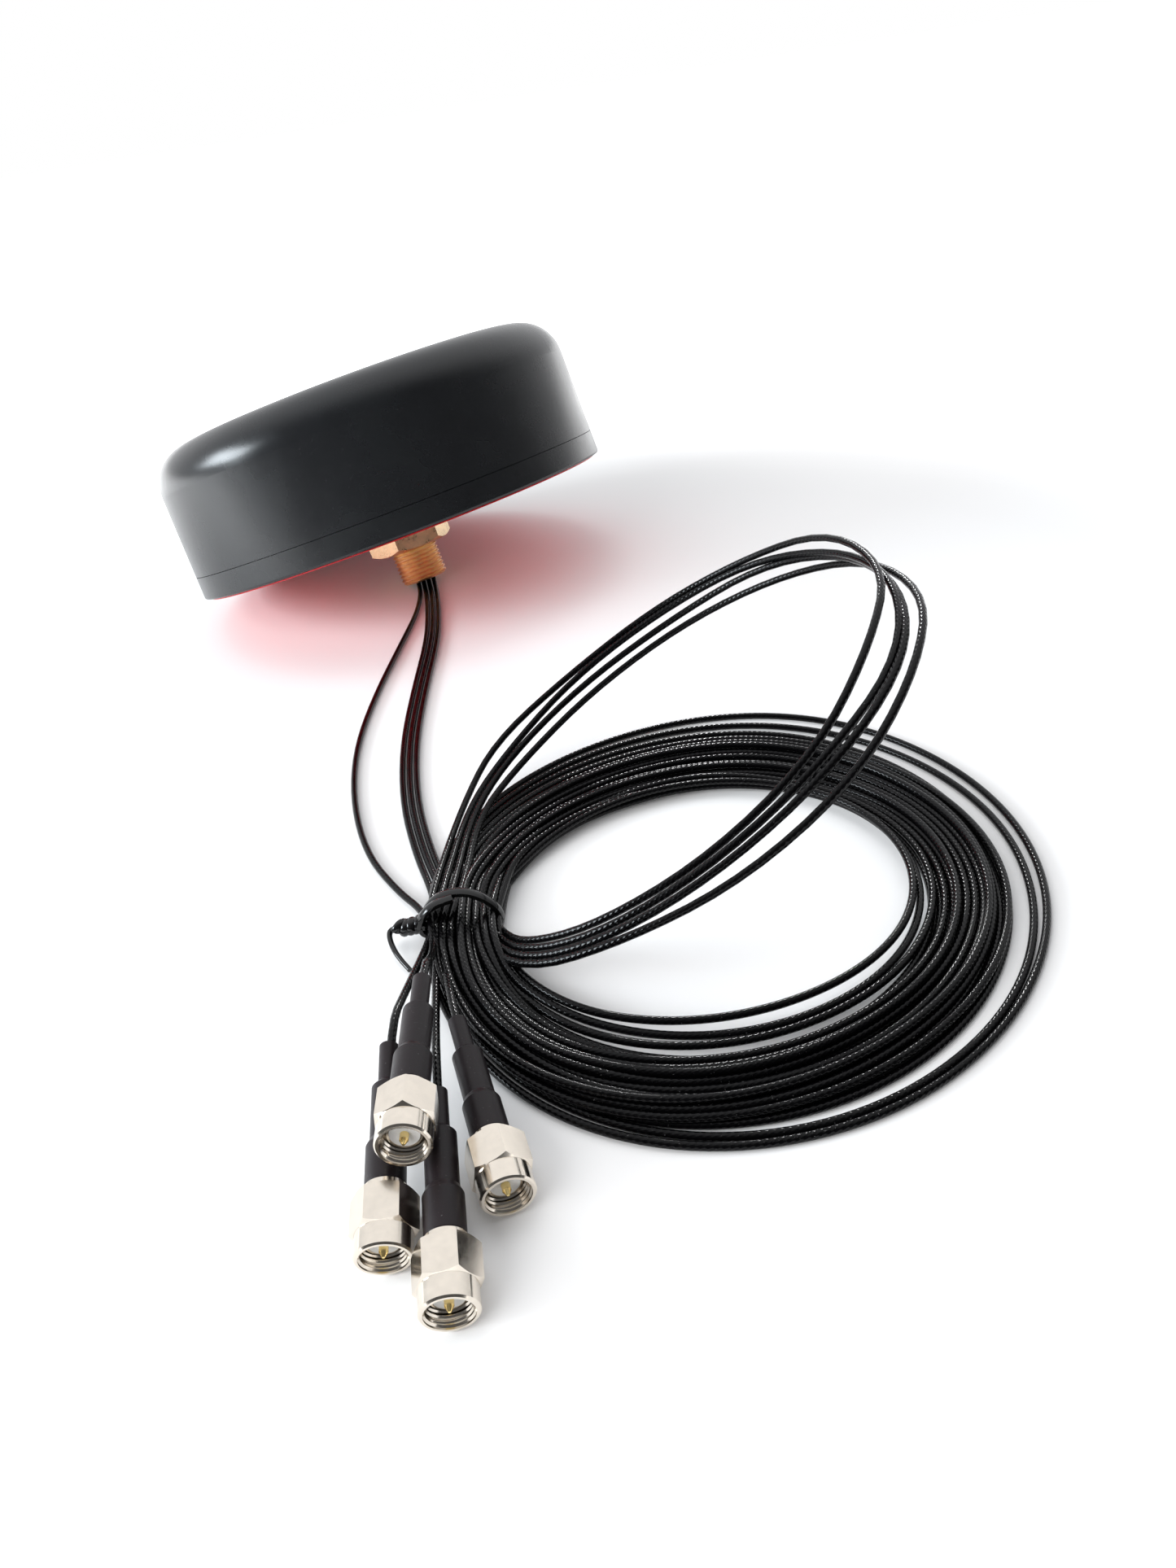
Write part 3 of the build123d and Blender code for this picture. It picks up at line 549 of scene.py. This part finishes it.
def add_cables():
    """The four cables, each one cord from the stud to its plug, and the line that each follows."""
    turns = wound_turns()
    back_slots = tie_slots()[-1]
    cables = {}
    for index, name in enumerate(PLUGS):
        radius, height = back_slots[index]
        last_pass = (COIL_CENTRE[0] - radius, COIL_CENTRE[1], height)
        route = lead_route(index) + [tuple(p) for p in turns[index]]
        route += loop_route(index) + [last_pass] + tail_route(name)
        line = spline_points(f"line_{name}", route)
        rings = swept_rings(line, ellipse(CABLE_DIAMETER, CABLE_DIAMETER, CABLE_SIDES))
        cable = ring_object(f"cable_{name}", [rings], "root", sharp=60.0)
        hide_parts(f"cable_lead_{name}", f"cable_loop_{name}", f"cable_tail_{name}", "cable_coil")
        cables[name] = cable, line
    return cables


def add_tie():
    """The twist tie: ring, second pass on the near side, twisted ends and tail."""
    ring = spline_points("tie_ring", TIE_RING, TIE_SMOOTHNESS)
    second = spline_points("tie_second", TIE_SECOND_PASS, TIE_SMOOTHNESS)
    shells = [swept_rings(line, TIE_RIBBON, TIE_RIBBON_WIDE_WAY) for line in (ring, second)]
    middle = spline_points("tie_knot", TIE_KNOT, TIE_KNOT_SMOOTHNESS)
    tangents = unit(np.gradient(middle, axis=0))
    share = np.linspace(0, 1, len(middle))[:, None]
    level = unit(np.cross(tangents, (0.0, 0.0, 1.0)))
    raised = np.cross(level, tangents)
    for start in (0.0, math.pi):
        turn = start + share * TIE_KNOT_TURNS * 2 * math.pi
        strand = middle + (level * np.cos(turn) + raised * np.sin(turn)) * TIE_KNOT_OFFSET
        shells.append(swept_rings(strand, ellipse(*TIE_KNOT_STRAND, TIE_SIDES)))
    tail = spline_points("tie_tail", TIE_TAIL, TIE_SMOOTHNESS)
    shells.append(swept_rings(tail, ellipse(*TIE_TAIL_STRAND, TIE_SIDES)))
    tie = ring_object("tie", shells, "root")
    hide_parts("twist_tie")
    return tie


def add_stud():
    """The stud with a right-handed thread cut in its shank; its flange and bore are as in the CAD."""
    turn = np.arange(STUD_SIDES) * 2 * math.pi / STUD_SIDES
    hexagon = STUD_FLANGE_FLATS / 2 / np.cos((turn % (math.pi / 3)) - math.pi / 6)
    profile = []
    low = -STUD_REACH
    steps = int(round((THREAD_TOP - low) / THREAD_STEP))
    for step in range(steps + 1):
        z = low + (THREAD_TOP - low) * step / steps
        phase = (z / THREAD_PITCH - turn / (2 * math.pi)) % 1.0
        tooth = 1 - np.abs(2 * phase - 1)
        fade = min(1.0, (THREAD_TOP - z) / THREAD_FADE)
        groove = THREAD_DEPTH * fade * np.clip((tooth - THREAD_CREST) / THREAD_FLANKS, 0, 1)
        radius = np.minimum(STUD_RADIUS - groove, STUD_RADIUS - STUD_END_CHAMFER + (z - low))
        profile.append((radius, z))
    profile += [
        (STUD_RADIUS, STUD_FLANGE_LOW), (hexagon, STUD_FLANGE_LOW), (hexagon, STUD_FLANGE_HIGH),
        (STUD_BORE, STUD_FLANGE_HIGH), (STUD_BORE, STUD_BORE_MIDDLE), (STUD_BORE, low),
    ]
    rings = []
    for radius, z in profile:
        local = np.stack([radius * np.cos(turn), radius * np.sin(turn), np.full(STUD_SIDES, z)], axis=1)
        rings.append(local @ np.array((PUCK_X, PUCK_Y, PUCK_AXIS)) + np.array(RIM_CENTRE))
    stud = ring_object("stud", [np.array(rings)], "root", closed=True, sharp=32.0)
    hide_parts("threaded_stud")
    return stud


def add_nut_thread(name):
    """The ridge of a coupling nut's inside thread, a little sunk in the bore."""
    mouth, axis = (np.array(vector) for vector in plug_mouth(name))
    side = unit(np.cross(axis, (0.0, 0.0, 1.0)))
    other = np.cross(axis, side)
    turns = (NUT_THREAD_END - NUT_THREAD_START) / NUT_PITCH
    share = np.linspace(0, 1, int(turns * NUT_THREAD_STEPS))
    angle = share * turns * 2 * math.pi
    out = np.cos(angle)[:, None] * side + np.sin(angle)[:, None] * other
    depth = (NUT_THREAD_START + (NUT_THREAD_END - NUT_THREAD_START) * share)[:, None]
    raised = np.clip(np.minimum(share, 1 - share) * NUT_THREAD_RUN_OUT, 0, 1)[:, None]
    crest = NUT_BORE - (NUT_BORE - NUT_THREAD_RADIUS) * raised
    foot = NUT_PITCH * NUT_RIDGE_FOOT
    sunk = NUT_BORE + NUT_RIDGE_SUNK
    rings = np.stack([
        mouth + out * sunk - axis * (depth - foot),
        mouth + out * crest - axis * (depth - NUT_RIDGE_CREST),
        mouth + out * crest - axis * (depth + NUT_RIDGE_CREST),
        mouth + out * sunk - axis * (depth + foot),
    ], axis=1)
    return ring_object(f"nut_thread_{name}", [rings], f"coupling_{name}", sharp=20.0)


class Shading:
    """Node helpers of one material or world."""

    def __init__(self, tree):
        self.made = tree.nodes
        self.links = tree.links

    def math(self, operation, first, second):
        """Math node on sockets or numbers."""
        node = self.made.new("ShaderNodeMath")
        node.operation = operation
        for place, value in enumerate((first, second)):
            if isinstance(value, (int, float)):
                node.inputs[place].default_value = value
            else:
                self.links.new(value, node.inputs[place])
        return node.outputs[0]

    def noise(self, vector, scale, detail, roughness=0.5):
        """Noise in three dimensions, from 0 to 1."""
        node = self.made.new("ShaderNodeTexNoise")
        node.inputs["Scale"].default_value = scale
        node.inputs["Detail"].default_value = detail
        node.inputs["Roughness"].default_value = roughness
        self.links.new(vector, node.inputs["Vector"])
        return node.outputs["Fac"]

    def spread(self, value, low, high, to_low=0.0, to_high=1.0, smooth=False):
        """Map range, clamped."""
        node = self.made.new("ShaderNodeMapRange")
        node.clamp = True
        if smooth:
            node.interpolation_type = "SMOOTHSTEP"
        node.inputs["From Min"].default_value = low
        node.inputs["From Max"].default_value = high
        node.inputs["To Min"].default_value = to_low
        node.inputs["To Max"].default_value = to_high
        self.links.new(value, node.inputs["Value"])
        return node.outputs["Result"]

    def mix(self, share, first, second):
        """Colour mix; each colour is a socket or three numbers."""
        node = self.made.new("ShaderNodeMix")
        node.data_type = "RGBA"
        self.links.new(share, node.inputs["Factor"])
        for place, value in ((6, first), (7, second)):
            if isinstance(value, (tuple, list)):
                node.inputs[place].default_value = (*value, 1)
            else:
                self.links.new(value, node.inputs[place])
        return node.outputs[2]

    def bump(self, height, strength, depth, normal=None):
        """Relief by a height, its depth in millimetres, over the relief of a normal."""
        node = self.made.new("ShaderNodeBump")
        node.inputs["Strength"].default_value = strength
        node.inputs["Distance"].default_value = depth * MM
        self.links.new(height, node.inputs["Height"])
        if normal is not None:
            self.links.new(normal, node.inputs["Normal"])
        return node.outputs["Normal"]

    def dot(self, vector, direction):
        """How far a vector goes in a direction."""
        node = self.made.new("ShaderNodeVectorMath")
        node.operation = "DOT_PRODUCT"
        self.links.new(vector, node.inputs[0])
        node.inputs[1].default_value = direction
        return node.outputs["Value"]

    def weave(self, place):
        """Height of a braid's two crossing sets of strands, by a cable's texture coordinates."""
        split = self.made.new("ShaderNodeSeparateXYZ")
        self.links.new(place, split.inputs["Vector"])
        along = self.math("MULTIPLY", split.outputs["X"], 2 * math.pi / BRAID_PITCH)
        around = self.math("MULTIPLY", split.outputs["Y"], BRAID_STRANDS * 2 * math.pi)
        one_way = self.math("SINE", self.math("ADD", along, around), 0.0)
        other_way = self.math("SINE", self.math("SUBTRACT", along, around), 0.0)
        front = self.math("MULTIPLY", one_way, BRAID_FRONT)
        back = self.math("MULTIPLY", other_way, BRAID_BACK)
        return self.math("ADD", front, back)


def surface(name, colour, roughness, metallic=0.0, variation=0.06, scale=300.0, bump=0.15, bump_scale=1800.0,
            rough_spread=0.06, specular=0.5, relief=0.02, dust=0.0, braid=False):
    """Principled surface with patchy colour, uneven gloss and fine relief, all from 3-D noise with its scales
    to the metre; dust is the strength of sparse light specks, and braid adds the diagonal relief of a braid
    under a thin jacket."""
    material = bpy.data.materials.new(name)
    material.use_nodes = True
    tool = Shading(material.node_tree)
    shader = tool.made["Principled BSDF"]
    shader.inputs["Metallic"].default_value = metallic
    shader.inputs["Specular IOR Level"].default_value = specular
    place = tool.made.new("ShaderNodeTexCoord")
    vector = place.outputs["Object"]
    patches = tool.noise(vector, scale, 5.0, 0.6)
    low = [max(0.0, c * (1 - variation)) for c in colour]
    high = [min(1.0, c * (1 + variation)) for c in colour]
    base = tool.mix(tool.spread(patches, 0.3, 0.7), low, high)
    smoothest = max(0.03, roughness - rough_spread)
    roughest = min(1.0, roughness + rough_spread)
    rough = tool.spread(patches, 0.25, 0.75, smoothest, roughest)
    if dust:
        specks = tool.spread(tool.noise(vector, DUST_SCALE, 2.0), DUST_FROM, DUST_TO, 0.0, dust)
        base = tool.mix(specks, base, DUST_COLOUR)
    tool.links.new(base, shader.inputs["Base Color"])
    normal = tool.bump(tool.noise(vector, bump_scale, 3.0), bump, relief)
    if braid:
        weave = tool.weave(place.outputs["UV"])
        normal = tool.bump(weave, BRAID_STRENGTH, BRAID_DEPTH, normal)
        rough = tool.math("ADD", rough, tool.spread(weave, -0.4, 0.6, BRAID_DULLER, 0.0))
    tool.links.new(rough, shader.inputs["Roughness"])
    tool.links.new(normal, shader.inputs["Normal"])
    return material


LOOKS = {
    "housing": {"colour": (0.0090, 0.0100, 0.0115), "roughness": 0.27, "bump": 0.30, "bump_scale": 3200.0,
                "variation": 0.15, "scale": 50.0, "rough_spread": 0.05, "dust": 0.05},
    "seal": {"colour": (0.012, 0.012, 0.012), "roughness": 0.7},
    "brass_stud": {"colour": (0.90, 0.66, 0.36), "roughness": 0.40, "metallic": 1.0, "variation": 0.12,
                   "scale": 500.0},
    "brass_nut": {"colour": (0.84, 0.61, 0.36), "roughness": 0.30, "metallic": 1.0, "variation": 0.14,
                  "scale": 420.0, "rough_spread": 0.09},
    "plated_steel": {"colour": (0.58, 0.47, 0.34), "roughness": 0.34, "metallic": 1.0, "variation": 0.12},
    "bush": {"colour": (0.015, 0.015, 0.016), "roughness": 0.6},
    "foam_pad": {"colour": (0.02, 0.02, 0.02), "roughness": 0.9, "bump": 0.6, "relief": 0.1},
    "liner": {"colour": (0.84, 0.022, 0.03), "roughness": 0.40, "variation": 0.08},
    "circuit_board": {"colour": (0.02, 0.12, 0.05), "roughness": 0.45},
    "screw_steel": {"colour": (0.45, 0.45, 0.46), "roughness": 0.32, "metallic": 1.0},
    "cable": {"colour": (0.0014, 0.0013, 0.0016), "roughness": 0.09, "specular": 0.18, "variation": 0.25,
              "scale": 180.0, "bump": 0.3, "bump_scale": 2200.0, "rough_spread": 0.04, "dust": 0.12,
              "braid": True},
    "nickel_plate": {"colour": (0.78, 0.71, 0.62), "roughness": 0.17, "metallic": 1.0, "variation": 0.05,
                     "scale": 500.0, "bump": 0.10, "bump_scale": 900.0, "rough_spread": 0.05},
    "gold_pin": {"colour": (1.0, 0.76, 0.34), "roughness": 0.2, "metallic": 1.0},
    "spring_bronze": {"colour": (0.62, 0.42, 0.22), "roughness": 0.35, "metallic": 1.0},
    "ptfe": {"colour": (0.92, 0.91, 0.89), "roughness": 0.4},
    "heat_shrink": {"colour": (0.0105, 0.0065, 0.0080), "roughness": 0.42, "specular": 0.3, "variation": 0.2,
                    "scale": 220.0, "bump": 0.45, "bump_scale": 700.0, "relief": 0.05, "dust": 0.15},
    "twist_tie": {"colour": (0.004, 0.004, 0.004), "roughness": 0.13, "bump": 0.2, "bump_scale": 900.0},
}
MATERIALS = {slot: surface(slot, **look) for slot, look in LOOKS.items()}


def dress(obj, slot):
    """Gives a piece the material of a slot."""
    obj.data.materials.clear()
    obj.data.materials.append(MATERIALS[slot])


def add_floor():
    """White table: it keeps the shadows, and further out it glows into the white background."""
    mesh = bpy.data.meshes.new("table")
    corners = [(-1, -1), (1, -1), (1, 1), (-1, 1)]
    vertices = [mm((x * TABLE_HALF_SIDE, y * TABLE_HALF_SIDE, -TABLE_BELOW)) for x, y in corners]
    mesh.from_pydata(vertices, [], [(0, 1, 2, 3)])
    table = bpy.data.objects.new("table", mesh)
    bpy.context.scene.collection.objects.link(table)
    material = bpy.data.materials.new("table")
    material.use_nodes = True
    tool = Shading(material.node_tree)
    shader = tool.made["Principled BSDF"]
    shader.inputs["Base Color"].default_value = (TABLE_WHITE, TABLE_WHITE, TABLE_WHITE, 1)
    shader.inputs["Roughness"].default_value = 0.6
    shader.inputs["Specular IOR Level"].default_value = 0.15
    seen = tool.made.new("ShaderNodeLightPath")
    looked_at = tool.math("MAXIMUM", seen.outputs["Is Camera Ray"], seen.outputs["Is Glossy Ray"])
    looked_at = tool.math("MAXIMUM", looked_at, seen.outputs["Is Transmission Ray"])
    where = tool.made.new("ShaderNodeNewGeometry")
    away = tool.made.new("ShaderNodeVectorMath")
    away.operation = "DISTANCE"
    tool.links.new(where.outputs["Position"], away.inputs[0])
    away.inputs[1].default_value = mm(GLOW_CENTRE)
    starts, full = mm((GLOW_STARTS, GLOW_FULL))
    glow = tool.spread(away.outputs["Value"], starts, full, GLOW_NEAR, GLOW_FAR, smooth=True)
    shader.inputs["Emission Color"].default_value = (1, 1, 1, 1)
    tool.links.new(tool.math("MULTIPLY", glow, looked_at), shader.inputs["Emission Strength"])
    mesh.materials.append(material)


def add_world():
    """White where the camera looks; for the light, bright behind and above, dark on the camera's side."""
    world = bpy.data.worlds.new("studio")
    bpy.context.scene.world = world
    world.use_nodes = True
    tool = Shading(world.node_tree)
    tool.made.clear()
    out = tool.made.new("ShaderNodeOutputWorld")
    place = tool.made.new("ShaderNodeTexCoord")
    facing = tool.dot(place.outputs["Generated"], SKY_BRIGHT)
    strength = tool.spread(facing, SKY_FACING_LOW, SKY_FACING_HIGH, SKY_LOW, SKY_HIGH, smooth=True)
    soft = tool.made.new("ShaderNodeBackground")
    soft.inputs["Color"].default_value = (*SKY_COLOUR, 1)
    tool.links.new(strength, soft.inputs["Strength"])
    white = tool.made.new("ShaderNodeBackground")
    white.inputs["Color"].default_value = (1, 1, 1, 1)
    seen = tool.made.new("ShaderNodeLightPath")
    mix = tool.made.new("ShaderNodeMixShader")
    tool.links.new(seen.outputs["Is Camera Ray"], mix.inputs["Fac"])
    tool.links.new(soft.outputs[0], mix.inputs[1])
    tool.links.new(white.outputs[0], mix.inputs[2])
    tool.links.new(mix.outputs[0], out.inputs["Surface"])


def add_lamp(name, place, aim, size, watts, colour=(1, 1, 1), mirrored=True, only=()):
    """Rectangular lamp. One that isn't mirrored lights without a highlight of its own, and one with objects
    in only lights just those."""
    data = bpy.data.lights.new(name, "AREA")
    data.shape = "RECTANGLE"
    data.size, data.size_y = mm(size)
    data.energy = watts
    data.color = colour
    lamp = bpy.data.objects.new(name, data)
    lamp.location = mm(place)
    direction = Vector(aim) - Vector(place)
    lamp.rotation_mode = "QUATERNION"
    lamp.rotation_quaternion = direction.to_track_quat("-Z", "Y")
    lamp.visible_glossy = mirrored
    bpy.context.scene.collection.objects.link(lamp)
    if only:
        lit = bpy.data.collections.new(f"{name}_lights")
        for obj in only:
            lit.objects.link(obj)
        lamp.light_linking.receiver_collection = lit


add_camera()
cables = add_cables()
tie = add_tie()
stud = add_stud()
nut_threads = {name: add_nut_thread(name) for name in PLUGS}

for part in frame["record"]["subparts"]:
    dress(nodes[part["node"]], part["material_slot"])
dress(tie, "twist_tie")
dress(stud, "brass_stud")
PLUG_PIECES = ("coupling_nut", "plug_body", "insulator", "centre_pin", "keeper_ring", "heat_shrink")
for name, (cable, line) in cables.items():
    dress(cable, "cable")
    dress(nut_threads[name], "nickel_plate")
    on_cable = [nodes[f"{piece}_{name}"] for piece in PLUG_PIECES]
    if name == "a":
        on_cable.append(tie)

add_floor()
add_world()
add_lamp("window", place=(-850, -190, 330), aim=(10, -50, 20), size=(420, 240), watts=7.4,
         colour=(0.86, 0.94, 1.0))
add_lamp("glint", place=(120, 700, 480), aim=(40, -200, 0), size=(80, 70), watts=2.6,
         only=[cable for cable, line in cables.values()])
add_lamp("overhead", place=(-40, 100, 950), aim=(40, -130, 0), size=(500, 400), watts=1.0, mirrored=False)
add_lamp("front_fill", place=(-480, -560, 420), aim=(10, -60, 0), size=(700, 500), watts=4.6, mirrored=False)
bpy.context.scene.view_settings.view_transform = "Standard"

bpy.context.view_layer.update()
